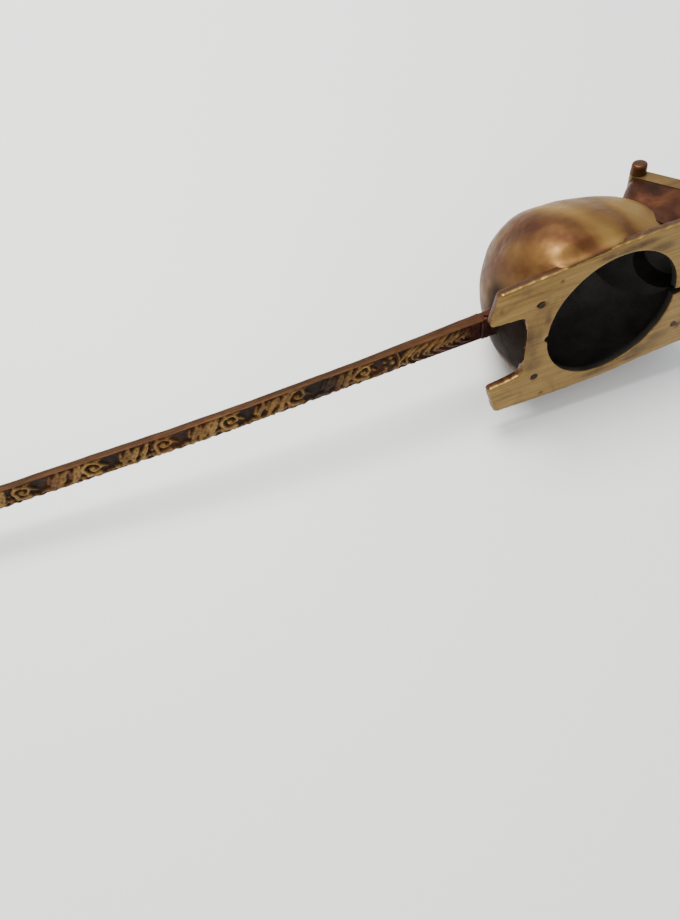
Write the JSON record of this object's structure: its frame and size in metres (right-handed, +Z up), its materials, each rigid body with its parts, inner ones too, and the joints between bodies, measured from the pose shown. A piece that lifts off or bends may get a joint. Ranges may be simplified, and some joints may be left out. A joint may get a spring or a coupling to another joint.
{
  "type": "handled censer",
  "caption": "Small hand-held brass censer: a hollow egg-shaped bowl with a filed base plate round its opening, a hinged front lid and a long relief strip handle with a ring.",
  "frame": {"origin": "middle of the footprint, on the table that the censer lies on", "axes": "+Z up, +X from the handle's end towards the front plate, the filed base plate faces -Y; the censer lies on its side, as it is left on a table"},
  "size_m": [0.2747, 0.0377, 0.0444],
  "materials": {
    "aged_brass": "satin cast brass, warm reddish patches",
    "filed_brass": "filed bright, fine parallel file marks",
    "brown_brass": "brown tarnished brass",
    "dark_brass": "dark worn brass",
    "relief_brass": "cast relief, dark in the recesses"
  },
  "bodies": {
    "censer": {"bowl_shell": "aged_brass", "base_plate": "filed_brass", "plate_pins": "dark_brass", "front_collar": "brown_brass", "front_plate": "aged_brass", "front_rivets": "dark_brass", "hinge_pin": "brown_brass", "handle_socket": "brown_brass", "handle_strip": "relief_brass", "handle_rivets": "dark_brass", "handle_finial": "relief_brass"},
    "lid": {"front_lid": "aged_brass", "lid_knob": "filed_brass"},
    "ring": {"hanging_ring": "dark_brass"}
  },
  "joints": [
    {"name": "lid_hinge", "type": "hinge", "parent": "censer", "child": "lid", "pos_m": [0.12293, 0.0078, 0.01975], "axis": [-0.0642, 0.3322, 0.941], "range_deg": [0, 100]},
    {"name": "ring_swing", "type": "hinge", "parent": "censer", "child": "ring", "pos_m": [-0.1236, 0.00252, 0.0048], "axis": [-0.0626, -0.9425, 0.3284], "range_deg": [-90, 90]}
  ]
}
